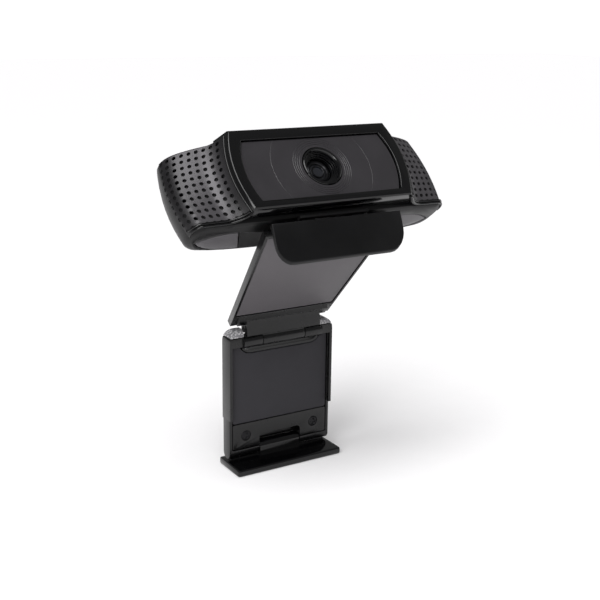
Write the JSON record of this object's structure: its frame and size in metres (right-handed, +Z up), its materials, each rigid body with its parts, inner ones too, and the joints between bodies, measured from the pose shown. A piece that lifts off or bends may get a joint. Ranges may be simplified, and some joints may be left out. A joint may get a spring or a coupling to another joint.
{
  "type": "webcam",
  "caption": "Wide black webcam with perforated side wings, on its opened folding monitor clip, standing on the clip's hinged foot.",
  "frame": {"origin": "centre of the foot's flat sole", "axes": "+X the webcam's width, left to right seen from the front; -Y the front; +Z up"},
  "size_m": [0.0954, 0.045, 0.1177],
  "materials": {
    "foot": "gloss",
    "steel": "satin",
    "leg_shell": "satin",
    "leg_pad": "matte",
    "satin_plastic": "satin",
    "screws": "satin",
    "brass": "satin",
    "frosted": "matte",
    "clip_pad": "matte",
    "inset": "satin",
    "grille": "satin",
    "gloss_plastic": "gloss",
    "panel": "satin",
    "glass": "gloss",
    "board": "satin",
    "aluminium": "satin",
    "boot": "matte",
    "light_pipe": "gloss"
  },
  "bodies": {
    "foot": {"foot": "foot", "foot_pin": "steel"},
    "leg": {"leg_shell": "leg_shell", "leg_core": "steel", "leg_pad": "leg_pad", "base_cover": "satin_plastic", "base_screw_left": "screws", "base_screw_right": "screws", "tripod_insert": "brass", "hinge_pin": "steel", "hinge_cap_left": "frosted", "hinge_cap_right": "frosted"},
    "clip": {"clip_plate": "satin_plastic", "clip_pad": "clip_pad", "lip": "satin_plastic", "lip_pad": "leg_pad", "tilt_pin": "steel"},
    "head": {"rear_housing": "satin_plastic", "grille_left": "grille", "grille_right": "grille", "underside_inset_left": "inset", "underside_inset_right": "inset", "front_bezel": "gloss_plastic", "face_panel": "panel", "lens_ring": "gloss_plastic", "lens_window": "glass", "focus_housing": "satin_plastic", "image_sensor": "glass", "main_board": "board", "board_screw_1": "screws", "board_screw_2": "screws", "board_screw_3": "screws", "board_screw_4": "screws", "heat_spreader": "aluminium", "microphone_boot_left": "boot", "microphone_boot_right": "boot", "microphone_left": "aluminium", "microphone_right": "aluminium", "light_pipe_left": "light_pipe", "light_pipe_right": "light_pipe", "cable_inlet": "boot", "tilt_bracket": "satin_plastic"},
    "lens": {"lens_barrel": "gloss_plastic", "lens_element": "glass"}
  },
  "joints": [
    {"name": "foot_fold", "type": "hinge", "parent": "foot", "child": "leg", "pos_m": [0, 0.0028, 0.00555], "axis": [1, 0, 0], "range_deg": [0, 90]},
    {"name": "clip_swing", "type": "hinge", "parent": "leg", "child": "clip", "pos_m": [0, 0.0004, 0.04565], "axis": [1, 0, 0], "range_deg": [-40, 120]},
    {"name": "head_tilt", "type": "hinge", "parent": "clip", "child": "head", "pos_m": [0, -0.03072, 0.08966], "axis": [1, 0, 0], "range_deg": [-12, 20]},
    {"name": "focus_slide", "type": "slide", "parent": "head", "child": "lens", "axis": [0, -0.766, 0.6428], "range_m": [0, 0.0003], "stiffness_N_per_m": 100}
  ]
}
